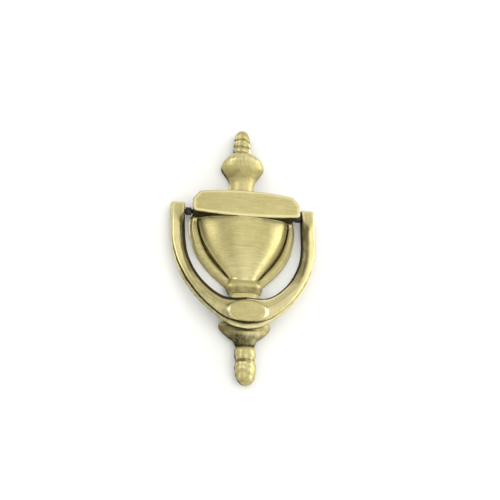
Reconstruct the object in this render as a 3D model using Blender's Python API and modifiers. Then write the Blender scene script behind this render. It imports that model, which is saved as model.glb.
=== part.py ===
"""Urn-pattern door knocker: a cast relief backplate with a swinging bail, its hinge and its door fixings.

Frame: +X to the right, +Z up, the caller stands at -Y. The back of the plate lies on y = 0, and the
origin is on that back face, midway between the tips of the two finials. Depth means distance from the
back face towards the caller, so a point at depth d has y = -d.
"""

import math

import bmesh
import bpy
from mathutils import Matrix, Vector

MM = 0.001
GAP = 0.3  # mm left between pieces that touch

# Driving dimensions, in millimetres.
TIP_Z = 80.0
DOOR_THICKNESS = 44.0

BOX_HALF_WIDTH = 32.6
BOX_DEPTH = 15.5
BOX_TOP_Z = 32.8
BOX_TOP_BOW = 3.0
BOX_BOTTOM_Z = 20.7
BOX_BOTTOM_BOW = 1.5
BOX_CORNER = 4.4
BOX_BACK_TAPER = 0.08  # how much narrower the box is at its back, as a share

FLANGE_DEPTH = 3.2
WALL = 3.0
WEB_HALF = 1.75

HINGE_Z = 24.0
HINGE_DEPTH = 5.0
PIN_RADIUS = 1.3
PIN_HOLE_RADIUS = PIN_RADIUS + GAP
PIN_INNER_X = 25.3
PIN_OUTER_X = 40.6
BUSH_RADIUS = 2.4
BUSH_INNER_X = 31.9
BUSH_OUTER_X = 35.1

BAIL_BACK = (2.4, 9.8)  # depth of the bail's back at the hinge and at the pad
BAIL_RIDGE = (8.0, 12.9)  # depth of its ridge at the same two heights
RIDGE_SHARE = 0.47  # where the ridge runs, as a share of the way from the inner to the outer edge
HEAD_Z = (14.0, 24.0)  # the arm's ridged section becomes a square head between these heights
LIP_Z = (8.0, -26.0)  # the outer lip grows to its full width between these heights

# Each pair below holds a size of the bail's section on the ridged run and the same size at its plain end.
INNER_DROP = (2.2, 0.4)  # from the ridge down to the inner shoulder, and at the head
OUTER_DROP = (1.8, 0.5)  # from the ridge down to the outer shoulder, and at the head
FLANK_WIDTH = (1.8, 0.3)  # how far the inner flank leans back, and at the head
LIP_WIDTH = (0.6, 1.8)  # the outer lip's width above and below LIP_Z
LIP_HEIGHT_SHARE = 0.36  # the lip's height as a share of the section's
LIP_RISE_AT_HEAD = 1.2
OUTER_BREAK_SHARE = 0.7  # where the outer facet steepens, as a share of the width
OUTER_BREAK_DROP = 0.4  # how much of OUTER_DROP is used up there
BACK_CHAMFER = (0.5, 0.6)
STEP_EASE = 0.3

PAD_Z = -38.1
PAD_HALF_WIDTH = 12.4
PAD_HALF_HEIGHT = 6.9
PAD_DEPTH = 14.5

STRIKE_Z = -38.0
STRIKE_PLATE_RADIUS = 4.0
STRIKE_PLATE_DEPTH = 8.1
STRIKE_POCKET_DEPTH = 5.2
STUD_HEAD_RADIUS = 3.5
STUD_SHANK_RADIUS = 1.9
STUD_SHANK_DEPTH = 12.4

BOLT_RADIUS = 2.5
BOLT_HOLE_RADIUS = BOLT_RADIUS + GAP
BOLT_UPPER = (26.8, 9.5)
BOLT_LOWER = (-47.5, 6.6)
BOSS_RADIUS = 5.2
WASHER_RADIUS = 6.0
WASHER_THICKNESS = 1.0
SPRING_WASHER_RADIUS = 4.6
SPRING_WASHER_THICKNESS = 1.2
NUT_ACROSS_FLATS = 8.0
NUT_HEX_HEIGHT = 4.6
NUT_HEIGHT = 10.0
NUT_DOME_RADIUS = 3.7

TURN_STEPS = 40
SMALL_STEPS = 24

# Half-width and height down the outline of the turned spindle, one smooth run to a line.
SPINDLE_RUNS = [
    [(0, TIP_Z), (2.3, 79.4), (3.8, 77.6), (4.7, 75), (4.9, 73.2)],
    [(4.5, 72.6), (5.2, 71.4), (5.3, 69.8), (4.9, 68.4)],
    [(4.6, 67.9), (5.5, 66.8), (5.6, 65.2), (5.2, 64)],
    [(7.4, 62.5), (9.6, 61.1), (12.0, 58.3), (13.2, 55.2), (12.5, 52.2), (9.9, 49.2), (7.9, 46), (7.3, 42)],
    [(7.3, 29), (7.3, 8), (7.3, -16)],
    [(9.2, -17.4), (11.1, -20), (11.2, -21.6), (10.3, -22.9), (8.9, -24.6), (8.3, -28.5), (8.4, -34), (9.2, -38)],
    [(11.4, -41), (14.4, -43.2), (15.4, -44.8), (14.8, -47), (12.7, -49.4), (9.8, -51.8), (7.2, -53.6), (5.8, -56.6)],
    [(5.2, -57.3), (5.9, -58.6), (6.2, -60.8), (6.1, -63), (5.4, -65.1)],
    [(5.1, -65.6), (5.9, -67.2), (6.2, -70), (5.8, -73.4), (4.8, -76.3), (3.1, -78.7), (0, -TIP_Z)],
]
# The spindle's section at a height: the depth of its centre, and its depth over half-width about that centre.
SPINDLE_RELIEF = [(80, 4.0, 0.93), (62, 4.0, 0.9), (55, 3.0, 0.7), (48, 1.2, 0.82), (44, 0.6, 0.9), (-15, 0.6, 0.86),
                  (-18, 3.0, 0.5), (-21, 3.4, 0.52), (-30, 3.4, 0.5), (-38, 3.4, 0.42), (-44.8, 3.2, 0.34),
                  (-48, 3.4, 0.38), (-52, 3.8, 0.55), (-57, 4.0, 0.85), (-60, 4.2, 0.93), (-80, 4.5, 0.93)]

BOWL_RUN = [(27.2, 24), (26.4, 16), (24.6, 8), (21.4, 1), (17.8, -5.2), (14, -10.6), (10.9, -14.8), (8.6, -18)]
BOWL_RELIEF = [(24, 0, 0.535), (15, 0, 0.553), (8, 0, 0.58), (1, 0, 0.607), (-5, 0, 0.65), (-10.5, 0, 0.71),
               (-14.6, 0, 0.79), (-18, 0, 0.88)]

FLANGE_RUN = [(31.6, 22), (32.4, 17), (32.1, 11.5), (31.0, 6.5), (29.5, 1.5), (27.2, -3.5),
              (23.8, -8.5), (19.4, -13.5), (14.8, -17.6), (11, -21.2)]

# Matching points on the bail's inner and outer edges, from the top of the right arm to the foot.
BAIL_STATIONS = [
    ((35.5, 29), (44.0, 29)),
    ((35.6, 20), (44.1, 20)),
    ((35.4, 13), (44.0, 12)),
    ((35.2, 6), (43.8, 4)),
    ((34.0, -3), (42.1, -6)),
    ((31.0, -11), (38.8, -15.6)),
    ((26.8, -17.7), (34.2, -24)),
    ((21.8, -23.1), (28.3, -31.6)),
    ((17.0, -26.8), (21.8, -37.8)),
    ((12.4, -28.9), (15.6, -42.5)),
    ((6.2, -29.3), (8.0, -46.6)),
    ((0, -28.8), (0, -48)),
]

BRASS = ("antique_brass", (0.46, 0.36, 0.16), 0.38, 1.0)
STRIKER_BRASS = ("striker_brass", (0.52, 0.41, 0.2), 0.3, 1.0)
BLACK_STEEL = ("blackened_steel", (0.03, 0.03, 0.032), 0.45, 1.0)
BLACK_NYLON = ("black_nylon", (0.015, 0.015, 0.016), 0.5, 0.0)
ZINC_STEEL = ("zinc_plated_steel", (0.62, 0.63, 0.64), 0.35, 1.0)


# ---- scene set-up -------------------------------------------------------------------------------

def clear_scene():
    for item in list(bpy.data.objects):
        bpy.data.objects.remove(item, do_unlink=True)


def new_collection(name):
    collection = bpy.data.collections.new(name)
    bpy.context.scene.collection.children.link(collection)
    return collection


def material(name, colour, roughness, metallic):
    made = bpy.data.materials.get(name)
    if made is None:
        made = bpy.data.materials.new(name)
        made.use_nodes = True
        shader = made.node_tree.nodes["Principled BSDF"]
        shader.inputs["Base Color"].default_value = (*colour, 1.0)
        shader.inputs["Roughness"].default_value = roughness
        shader.inputs["Metallic"].default_value = metallic
    return made


def add_object(name, mesh, collection):
    item = bpy.data.objects.new(name, mesh)
    collection.objects.link(item)
    return item


def evaluated_mesh(item):
    """The object's mesh with its modifiers, as a new mesh; the object itself is removed."""
    graph = bpy.context.evaluated_depsgraph_get()
    mesh = bpy.data.meshes.new_from_object(item.evaluated_get(graph))
    mesh.transform(item.matrix_world)
    bpy.data.objects.remove(item, do_unlink=True)
    return mesh


def finish_part(item, finish):
    """Gives a sub-part its material and smooth shading with crisp edges."""
    item.data.materials.clear()
    item.data.materials.append(material(*finish))
    item.data.shade_smooth()
    item.data.set_sharp_from_angle(angle=math.radians(35))


def make_cutter(name, mesh):
    item = add_object(name, mesh, cutters)
    item.hide_render = True
    item.display_type = "WIRE"
    return item


def boolean(item, other, operation):
    step = item.modifiers.new(operation.lower() + "_" + other.name, "BOOLEAN")
    step.operation = operation
    step.solver = "EXACT"
    step.object = other


# ---- curves and interpolation -------------------------------------------------------------------

def smooth_run(points, pieces):
    """Points along a Catmull-Rom curve through the given points, with so many pieces to each span."""
    out = []
    last = len(points) - 1
    for i in range(last):
        p0, p1 = Vector(points[max(i - 1, 0)]), Vector(points[i])
        p2, p3 = Vector(points[i + 1]), Vector(points[min(i + 2, last)])
        for k in range(pieces):
            t = k / pieces
            out.append(0.5 * (2 * p1 + (p2 - p0) * t + (2 * p0 - 5 * p1 + 4 * p2 - p3) * t ** 2
                              + (3 * p1 - p0 - 3 * p2 + p3) * t ** 3))
    out.append(Vector(points[last]))
    return [(max(p.x, 0.0), p.y) for p in out]


def ramp(table, z, column=1):
    """Linear interpolation in a table of (height, value, ...), listed from the top down."""
    if z >= table[0][0]:
        return table[0][column]
    for above, below in zip(table, table[1:]):
        if z >= below[0]:
            share = (above[0] - z) / (above[0] - below[0])
            return above[column] + (below[column] - above[column]) * share
    return table[-1][column]


def share_between(start, end, value):
    """How far a value is on the way from start to end, from 0 to 1."""
    return min(max((value - start) / (end - start), 0.0), 1.0)


def between(pair, share):
    """The value that lies a share of the way from the first of a pair to the second."""
    return pair[0] + (pair[1] - pair[0]) * share


# ---- solids -------------------------------------------------------------------------------------

def turned_mesh(name, profile, steps):
    """A closed solid turned about Z from a profile of (radius, height) in mm, listed from the top down."""
    mesh = bpy.data.meshes.new(name)
    points = [(r * MM, 0, z * MM) for r, z in profile]
    mesh.from_pydata(points, [(i, i + 1) for i in range(len(points) - 1)], [])
    item = add_object(name, mesh, cutters)
    screw = item.modifiers.new("turn", "SCREW")
    screw.axis = "Z"
    screw.angle = 2 * math.pi
    screw.steps = steps
    screw.render_steps = steps
    screw.use_merge_vertices = True
    screw.merge_threshold = 0.00001
    return evaluated_mesh(item)


def relief_mesh(name, profile, relief):
    """A turned solid whose centre's depth and whose depth ratio both vary with height."""
    mesh = turned_mesh(name, profile, TURN_STEPS)
    for vertex in mesh.vertices:
        height = vertex.co.z / MM
        vertex.co.y = vertex.co.y * ramp(relief, height, 2) - ramp(relief, height, 1) * MM
    return mesh


def axial_mesh(name, profile, direction, centre, steps=SMALL_STEPS, stretch=(1.0, 1.0)):
    """A turned solid whose heights run from centre along a direction, in mm.

    stretch scales it across the direction, first along its own x and then along its own y.
    """
    mesh = turned_mesh(name, profile, steps)
    turn = Vector(direction).to_track_quat("Z", "Y").to_matrix().to_4x4()
    mesh.transform(Matrix.Diagonal((*stretch, 1.0, 1.0)))
    mesh.transform(Matrix.Translation(Vector(centre) * MM) @ turn)
    return mesh


def rod_profile(radius, start, end, chamfer=0.0):
    """The outline of a plain rod between two heights, chamfered at its far end."""
    top = [(0, end), (radius - chamfer, end)]
    if chamfer:
        top.append((radius, end - chamfer))
    return top + [(radius, start), (0, start)]


def ring_profile(inner, outer, start, end, chamfer=0.0):
    """The closed outline of a ring between two heights, chamfered on its outer rims."""
    corner = [(outer - chamfer, end), (outer, end - chamfer), (outer, start + chamfer), (outer - chamfer, start)]
    if not chamfer:
        corner = [(outer, end), (outer, start)]
    return [(inner, end)] + corner + [(inner, start), (inner, end)]


def flat_mesh(name, outline, back, front):
    """A plate with a 2D outline of (x, z), filling the depths from back to front, in mm."""
    curve = bpy.data.curves.new(name, "CURVE")
    curve.dimensions = "2D"
    curve.fill_mode = "BOTH"
    curve.extrude = (front - back) / 2 * MM
    spline = curve.splines.new("POLY")
    spline.points.add(len(outline) - 1)
    for point, (x, z) in zip(spline.points, outline):
        point.co = (x * MM, z * MM, 0, 1)
    spline.use_cyclic_u = True
    item = add_object(name, curve, cutters)
    item.rotation_euler = (math.pi / 2, 0, 0)
    item.location = (0, -(front + back) / 2 * MM, 0)
    bpy.context.view_layer.update()
    mesh = evaluated_mesh(item)
    cage = bmesh.new()
    cage.from_mesh(mesh)
    bmesh.ops.remove_doubles(cage, verts=cage.verts, dist=0.00001)
    bmesh.ops.recalc_face_normals(cage, faces=cage.faces)
    cage.to_mesh(mesh)
    cage.free()
    return mesh


def block_mesh(name, low, high):
    """A box between two corners, in mm."""
    mesh = bpy.data.meshes.new(name)
    cage = bmesh.new()
    bmesh.ops.create_cube(cage, size=1.0)
    size = Vector(high) - Vector(low)
    middle = (Vector(high) + Vector(low)) / 2
    bmesh.ops.scale(cage, vec=size * MM, verts=cage.verts)
    bmesh.ops.translate(cage, vec=middle * MM, verts=cage.verts)
    cage.to_mesh(mesh)
    cage.free()
    return mesh


def bevelled(mesh, width, segments):
    """The mesh with every sharp edge rounded."""
    item = add_object(mesh.name, mesh, cutters)
    bevel = item.modifiers.new("round_edges", "BEVEL")
    bevel.width = width * MM
    bevel.segments = segments
    bevel.limit_method = "ANGLE"
    bevel.angle_limit = math.radians(50)
    return evaluated_mesh(item)


# ---- backplate ----------------------------------------------------------------------------------

def mirrored(right_side):
    """A closed outline from its right half, listed from the top down."""
    return right_side + [(-x, z) for x, z in reversed(right_side) if x > 0]


def spindle_profile():
    profile = []
    for run in SPINDLE_RUNS:
        profile += smooth_run(run, 2)
    return profile


def box_outline(inset=0.0):
    """The lens-shaped front of the hinge box, with its top corners cut off."""
    half = BOX_HALF_WIDTH - inset
    steps = 6
    shoulder = half - BOX_CORNER
    points = []
    for i in range(steps + 1):
        x = shoulder * i / steps
        points.append((x, BOX_TOP_Z - inset + BOX_TOP_BOW * (1 - (x / half) ** 2)))
    points.append((half, BOX_TOP_Z - inset - BOX_CORNER))
    points.append((half, BOX_BOTTOM_Z + inset + 1.2))
    points.append((half - 1.2, BOX_BOTTOM_Z + inset))
    for i in range(1, steps + 1):
        x = (half - 1.2) * (1 - i / steps)
        points.append((x, BOX_BOTTOM_Z + inset - BOX_BOTTOM_BOW * (1 - (x / half) ** 2)))
    return mirrored(points)


def cavity_cutter():
    """The hollow behind the bowl and the hinge box, less the cross web and the upper bolt's boss."""
    inner = [(half - WALL, z) for half, z in smooth_run(BOWL_RUN, 2) if z > -13]
    profile = [(0, inner[0][1])] + inner + [(0, inner[-1][1])]
    relief = [(z, centre, (ratio * half_at(z) - WALL) / (half_at(z) - WALL))
              for z, centre, ratio in BOWL_RELIEF if z > -15]
    cavity = make_cutter("cavity", relief_mesh("cavity", profile, relief))
    low, high = BOX_BOTTOM_Z + 1.7, BOX_TOP_Z - WALL + 2.0
    box_hollow = block_mesh("box_hollow", (-BOX_HALF_WIDTH + 7, -BOX_DEPTH + WALL, low),
                            (BOX_HALF_WIDTH - 7, 4, high))
    boolean(cavity, make_cutter("box_hollow", box_hollow), "UNION")
    web = block_mesh("web_space", (-40, -40, -WEB_HALF), (40, 40, WEB_HALF))
    boolean(cavity, make_cutter("web_space", web), "DIFFERENCE")
    boss = axial_mesh("boss_space", rod_profile(BOSS_RADIUS, -20, 20), (0, -1, 0), (0, 0, BOLT_UPPER[0]))
    boolean(cavity, make_cutter("boss_space", boss), "DIFFERENCE")
    return cavity


def half_at(z):
    """The bowl's half-width at a height."""
    return ramp([(height, half) for half, height in BOWL_RUN], z)


def build_backplate():
    plate = add_object("urn_backplate", relief_mesh("urn_backplate", spindle_profile(), SPINDLE_RELIEF), parts)
    run = smooth_run(BOWL_RUN, 2)
    bowl = relief_mesh("bowl", [(0, run[0][1])] + run + [(0, run[-1][1])], BOWL_RELIEF)
    boolean(plate, make_cutter("bowl", bowl), "UNION")
    flange = flat_mesh("flange", mirrored([(0, 24)] + smooth_run(FLANGE_RUN, 2) + [(0, -23)]), -3, FLANGE_DEPTH)
    boolean(plate, make_cutter("flange", bevelled(flange, 1.3, 2)), "UNION")
    box = bevelled(flat_mesh("hinge_box", box_outline(), -3, BOX_DEPTH), 0.7, 2)
    for vertex in box.vertices:
        vertex.co.x *= 1 - BOX_BACK_TAPER * share_between(-BOX_DEPTH * MM, 0, vertex.co.y)
    boolean(plate, make_cutter("hinge_box", box), "UNION")
    boolean(plate, cavity_cutter(), "DIFFERENCE")
    behind = block_mesh("behind_door_face", (-60, 0, -100), (60, 40, 100))
    boolean(plate, make_cutter("behind_door_face", behind), "DIFFERENCE")
    for side, name in ((-1, "pin_hole_left"), (1, "pin_hole_right")):
        hole = axial_mesh(name, rod_profile(PIN_HOLE_RADIUS, PIN_INNER_X - 3, 36), (side, 0, 0),
                          (0, -HINGE_DEPTH, HINGE_Z), 16)
        boolean(plate, make_cutter(name, hole), "DIFFERENCE")
    for name, (z, depth) in (("bolt_hole_upper", BOLT_UPPER), ("bolt_hole_lower", BOLT_LOWER)):
        hole = axial_mesh(name, rod_profile(BOLT_HOLE_RADIUS, -5, depth), (0, -1, 0), (0, 0, z))
        boolean(plate, make_cutter(name, hole), "DIFFERENCE")
    pocket = axial_mesh("strike_pocket", rod_profile(STRIKE_PLATE_RADIUS + GAP, STRIKE_POCKET_DEPTH, 20),
                        (0, -1, 0), (0, 0, STRIKE_Z))
    boolean(plate, make_cutter("strike_pocket", pocket), "DIFFERENCE")
    finish_part(plate, BRASS)
    return plate


def build_strike_plate():
    """A button let into the plate's neck, which takes the blow."""
    profile = rod_profile(STRIKE_PLATE_RADIUS, STRIKE_POCKET_DEPTH + GAP, STRIKE_PLATE_DEPTH, 0.5)
    button = add_object("strike_plate", axial_mesh("strike_plate", profile, (0, -1, 0), (0, 0, STRIKE_Z)), parts)
    finish_part(button, STRIKER_BRASS)
    return button


# ---- bail ---------------------------------------------------------------------------------------

def bail_edges():
    """Pairs of inner and outer edge points (x, z), from the top of the right arm to the foot at x = 0."""
    inner = smooth_run([station[0] for station in BAIL_STATIONS], 2)
    outer = smooth_run([station[1] for station in BAIL_STATIONS], 2)
    return list(zip(inner, outer))


def bail_section(back, ridge, width, height):
    """The bail's section as (distance from the inner edge in mm, depth): flank, ridge, step and lip."""
    head = share_between(*HEAD_Z, height)
    lip = between(LIP_WIDTH, share_between(*LIP_Z, height))
    outer_drop = between(OUTER_DROP, head)
    lip_depth = back + LIP_HEIGHT_SHARE * (ridge - back) + LIP_RISE_AT_HEAD * head
    chamfer, chamfer_rise = BACK_CHAMFER
    return [
        (chamfer, back),
        (0.0, back + chamfer_rise),
        (between(FLANK_WIDTH, head), ridge - between(INNER_DROP, head)),
        (width * RIDGE_SHARE, ridge),
        (width * OUTER_BREAK_SHARE, ridge - OUTER_BREAK_DROP * outer_drop),
        (width - lip - STEP_EASE, ridge - outer_drop),
        (width - lip, lip_depth + STEP_EASE),
        (width - STEP_EASE, lip_depth),
        (width, lip_depth - chamfer),
        (width, back + chamfer_rise),
        (width - chamfer, back),
    ]


def bail_half_mesh():
    """The right half of the bail, lofted between its sections and open at x = 0."""
    cage = bmesh.new()
    rings = []
    for inner, outer in bail_edges():
        start, across = Vector(inner), Vector(outer) - Vector(inner)
        middle_z = (inner[1] + outer[1]) / 2
        share = share_between(HINGE_Z, STRIKE_Z, middle_z)
        section = bail_section(between(BAIL_BACK, share), between(BAIL_RIDGE, share), across.length, middle_z)
        ring = []
        for distance, depth in section:
            point = start + across * distance / across.length
            ring.append(cage.verts.new((point.x * MM, -depth * MM, point.y * MM)))
        rings.append(ring)
    count = len(rings[0])
    for ring, following in zip(rings, rings[1:]):
        for k in range(count):
            cage.faces.new((ring[k], ring[(k + 1) % count], following[(k + 1) % count], following[k]))
    cage.faces.new(rings[0])
    bmesh.ops.recalc_face_normals(cage, faces=cage.faces)
    mesh = bpy.data.meshes.new("knocker_bail")
    cage.to_mesh(mesh)
    cage.free()
    return mesh


def build_bail():
    """The swinging bail, with its origin on the hinge axis."""
    half = add_object("bail_half", bail_half_mesh(), cutters)
    mirror = half.modifiers.new("other_half", "MIRROR")
    mirror.merge_threshold = 0.00001
    mesh = evaluated_mesh(half)
    pivot = Vector((0, -HINGE_DEPTH, HINGE_Z)) * MM
    mesh.transform(Matrix.Translation(-pivot))
    bail = add_object("knocker_bail", mesh, parts)
    bail.location = pivot
    bevel = PAD_DEPTH - BAIL_RIDGE[1]
    rim = [(0, PAD_DEPTH), (0.93, PAD_DEPTH), (0.98, PAD_DEPTH - 0.3 * bevel), (1.0, PAD_DEPTH - bevel),
           (1.0, BAIL_BACK[1] + 1), (0, BAIL_BACK[1] + 1)]
    pad = axial_mesh("pad", rim, (0, -1, 0), (0, 0, PAD_Z), 32, (PAD_HALF_WIDTH, PAD_HALF_HEIGHT))
    boolean(bail, make_cutter("pad", pad), "UNION")
    for side, name in ((-1, "arm_hole_left"), (1, "arm_hole_right")):
        hole = axial_mesh(name, rod_profile(PIN_HOLE_RADIUS, 34, PIN_OUTER_X + GAP), (side, 0, 0),
                          (0, -HINGE_DEPTH, HINGE_Z), 16)
        boolean(bail, make_cutter(name, hole), "DIFFERENCE")
    socket = axial_mesh("stud_socket", rod_profile(STUD_SHANK_RADIUS + GAP, 5, STUD_SHANK_DEPTH + GAP),
                        (0, -1, 0), (0, 0, STRIKE_Z), 16)
    boolean(bail, make_cutter("stud_socket", socket), "DIFFERENCE")
    finish_part(bail, BRASS)
    return bail


def build_striker_stud(bail):
    """The stud in the back of the pad that meets the strike plate."""
    low = STRIKE_PLATE_DEPTH + GAP
    head_end = BAIL_BACK[1] - GAP
    profile = [(0, STUD_SHANK_DEPTH), (STUD_SHANK_RADIUS, STUD_SHANK_DEPTH), (STUD_SHANK_RADIUS, head_end),
               (STUD_HEAD_RADIUS, head_end), (STUD_HEAD_RADIUS, low + 0.4), (STUD_HEAD_RADIUS - 0.4, low), (0, low)]
    mesh = axial_mesh("striker_stud", profile, (0, -1, 0), (0, 0, STRIKE_Z))
    mesh.transform(Matrix.Translation(-bail.location))
    stud = add_object("striker_stud", mesh, parts)
    stud.parent = bail
    finish_part(stud, STRIKER_BRASS)


# ---- hinge --------------------------------------------------------------------------------------

def build_hinge(side, suffix):
    """One hinge pin, fixed in the side of the box, and the bush that spaces the arm off the box."""
    centre = (0, -HINGE_DEPTH, HINGE_Z)
    profile = rod_profile(PIN_RADIUS, PIN_INNER_X, PIN_OUTER_X, 0.3)
    pin = add_object("hinge_pin_" + suffix, axial_mesh("hinge_pin_" + suffix, profile, (side, 0, 0), centre, 16), parts)
    finish_part(pin, BLACK_STEEL)
    profile = ring_profile(PIN_HOLE_RADIUS, BUSH_RADIUS, BUSH_INNER_X, BUSH_OUTER_X, 0.3)
    mesh = axial_mesh("hinge_bush_" + suffix, profile, (side, 0, 0), centre)
    finish_part(add_object("hinge_bush_" + suffix, mesh, parts), BLACK_NYLON)


# ---- door fixings -------------------------------------------------------------------------------

def build_fixing(z, depth, suffix):
    """A stud through the door, with its flat washer, spring washer and cap nut on the inner side."""
    centre = (0, 0, z)
    washer_start = DOOR_THICKNESS
    spring_start = washer_start + WASHER_THICKNESS + GAP
    nut_start = spring_start + SPRING_WASHER_THICKNESS + GAP
    stud_end = nut_start + 7.0

    profile = rod_profile(BOLT_RADIUS, -(depth - GAP), stud_end, 0.6)
    stud = axial_mesh("mounting_stud_" + suffix, profile, (0, 1, 0), centre)
    finish_part(add_object("mounting_stud_" + suffix, stud, parts), ZINC_STEEL)

    profile = ring_profile(BOLT_HOLE_RADIUS, WASHER_RADIUS, washer_start, washer_start + WASHER_THICKNESS)
    washer = axial_mesh("flat_washer_" + suffix, profile, (0, 1, 0), centre)
    finish_part(add_object("flat_washer_" + suffix, washer, parts), ZINC_STEEL)

    profile = ring_profile(BOLT_HOLE_RADIUS, SPRING_WASHER_RADIUS, spring_start,
                           spring_start + SPRING_WASHER_THICKNESS)
    spring = axial_mesh("spring_washer_" + suffix, profile, (0, 1, 0), centre)
    ring = add_object("spring_washer_" + suffix, spring, parts)
    split = block_mesh("split_" + suffix, (-0.5, spring_start - 1, 2), (0.5, nut_start + 1, 8))
    split.transform(Matrix.Translation(Vector((0, 0, z)) * MM))
    boolean(ring, make_cutter("split_" + suffix, split), "DIFFERENCE")
    finish_part(ring, ZINC_STEEL)

    hex_radius = NUT_ACROSS_FLATS / math.sqrt(3)
    profile = rod_profile(hex_radius, nut_start, nut_start + NUT_HEX_HEIGHT)
    nut = add_object("cap_nut_" + suffix, axial_mesh("cap_nut_" + suffix, profile, (0, 1, 0), centre, 6), parts)
    dome_base = nut_start + NUT_HEX_HEIGHT + 1.3
    dome_height = nut_start + NUT_HEIGHT - dome_base
    dome = [(NUT_DOME_RADIUS * math.sin(a), dome_base + dome_height * math.cos(a))
            for a in (math.radians(d) for d in range(0, 91, 15))]
    dome += [(NUT_DOME_RADIUS, nut_start + 1), (0, nut_start + 1)]
    cap = axial_mesh("dome_" + suffix, dome, (0, 1, 0), centre)
    boolean(nut, make_cutter("dome_" + suffix, cap), "UNION")
    bore = axial_mesh("nut_bore_" + suffix, rod_profile(BOLT_HOLE_RADIUS, nut_start - 2, stud_end + GAP),
                      (0, 1, 0), centre)
    boolean(nut, make_cutter("nut_bore_" + suffix, bore), "DIFFERENCE")
    finish_part(nut, ZINC_STEEL)


clear_scene()
parts = new_collection("urn_door_knocker")
cutters = new_collection("cutters")
build_backplate()
build_strike_plate()
build_striker_stud(build_bail())
for side, suffix in ((-1, "left"), (1, "right")):
    build_hinge(side, suffix)
for (height, hole_depth), suffix in ((BOLT_UPPER, "upper"), (BOLT_LOWER, "lower")):
    build_fixing(height, hole_depth, suffix)
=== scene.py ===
"""Looks of the urn-pattern door knocker: fine cast surfaces, materials, stage, lights and camera.

Lengths in the shape code are millimetres. Depth means distance from the plate's back face towards
the caller, so a point at depth d has y = -d / 1000 in the frame.
"""

import math

import bpy
import numpy as np
from mathutils import Matrix, Vector


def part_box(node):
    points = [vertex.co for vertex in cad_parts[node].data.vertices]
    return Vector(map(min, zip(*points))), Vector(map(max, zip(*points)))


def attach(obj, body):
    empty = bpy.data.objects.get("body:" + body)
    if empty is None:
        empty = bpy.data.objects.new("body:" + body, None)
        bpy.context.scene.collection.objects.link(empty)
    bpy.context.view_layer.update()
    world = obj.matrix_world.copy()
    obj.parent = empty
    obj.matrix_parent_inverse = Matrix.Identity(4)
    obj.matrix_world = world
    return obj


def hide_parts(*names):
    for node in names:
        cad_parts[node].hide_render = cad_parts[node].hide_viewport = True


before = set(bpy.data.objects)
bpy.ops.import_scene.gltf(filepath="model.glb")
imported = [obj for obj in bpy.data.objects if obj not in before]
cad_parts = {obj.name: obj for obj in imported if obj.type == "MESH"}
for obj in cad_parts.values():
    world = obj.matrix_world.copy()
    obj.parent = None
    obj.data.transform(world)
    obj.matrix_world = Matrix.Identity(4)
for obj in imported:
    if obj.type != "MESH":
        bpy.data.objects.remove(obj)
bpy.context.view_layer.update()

MM = 0.001

# ---- camera -------------------------------------------------------------------------------------

VIEW_AZIMUTH = math.radians(-13.11)
VIEW_ELEVATION = math.radians(-19.94)
VIEW_ROLL = math.radians(-0.82)
VIEW_DISTANCE = 0.6
VIEW_TARGET = Vector((0.00481, 0, 0.00387))
VIEW_LENS = 72.14


def add_camera():
    """The camera, below and to the left of the part, on a line through VIEW_TARGET."""
    azimuth, elevation = VIEW_AZIMUTH, VIEW_ELEVATION
    back = Vector((math.sin(azimuth) * math.cos(elevation), -math.cos(azimuth) * math.cos(elevation),
                   math.sin(elevation)))
    right = Vector((math.cos(azimuth), math.sin(azimuth), 0))
    up = back.cross(right)
    turned_right = right * math.cos(VIEW_ROLL) + up * math.sin(VIEW_ROLL)
    turned_up = up * math.cos(VIEW_ROLL) - right * math.sin(VIEW_ROLL)
    camera = bpy.data.objects.new("camera", bpy.data.cameras.new("camera"))
    bpy.context.scene.collection.objects.link(camera)
    camera.data.lens = VIEW_LENS
    camera.data.sensor_width = 36.0
    camera.data.clip_start = 0.01
    turn = Matrix((turned_right, turned_up, back)).transposed().to_4x4()
    camera.matrix_world = Matrix.Translation(VIEW_TARGET + back * VIEW_DISTANCE) @ turn
    bpy.context.scene.camera = camera


# ---- implicit shapes ----------------------------------------------------------------------------
# A field is negative inside, positive outside and close to the true distance in mm near the surface.

def blend_min(a, b, radius):
    """Union of two fields with a fillet."""
    share = np.clip(0.5 + 0.5 * (b - a) / radius, 0, 1)
    return b + (a - b) * share - radius * share * (1 - share)


def blend_max(a, b, radius):
    """Intersection of two fields with a rounded edge."""
    return -blend_min(-a, -b, radius)


def smooth_step(low, high, value):
    """0 at low and 1 at high, with flat ends; high may be the lower number."""
    t = np.clip((value - low) / (high - low), 0, 1)
    return t * t * (3 - 2 * t)


def band(out_low, in_low, in_high, out_high, value):
    """1 between the inner levels, fading to 0 at the outer ones."""
    return smooth_step(out_low, in_low, value) * smooth_step(out_high, in_high, value)


def between(pair, share):
    """The value that lies a share of the way from the first of a pair to the second."""
    return pair[0] + (pair[1] - pair[0]) * share


def curve_through(points, pieces=12):
    """Points along a Catmull-Rom curve through the given points."""
    points = np.array(points, float)
    ends = np.vstack([points[:1], points, points[-1:]])
    t = np.linspace(0, 1, pieces, endpoint=False)[:, None]
    runs = [0.5 * (2 * p1 + (p2 - p0) * t + (2 * p0 - 5 * p1 + 4 * p2 - p3) * t ** 2
                   + (3 * p1 - p0 - 3 * p2 + p3) * t ** 3)
            for p0, p1, p2, p3 in zip(ends, ends[1:], ends[2:], ends[3:])]
    return np.vstack(runs + [points[-1:]])


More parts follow.
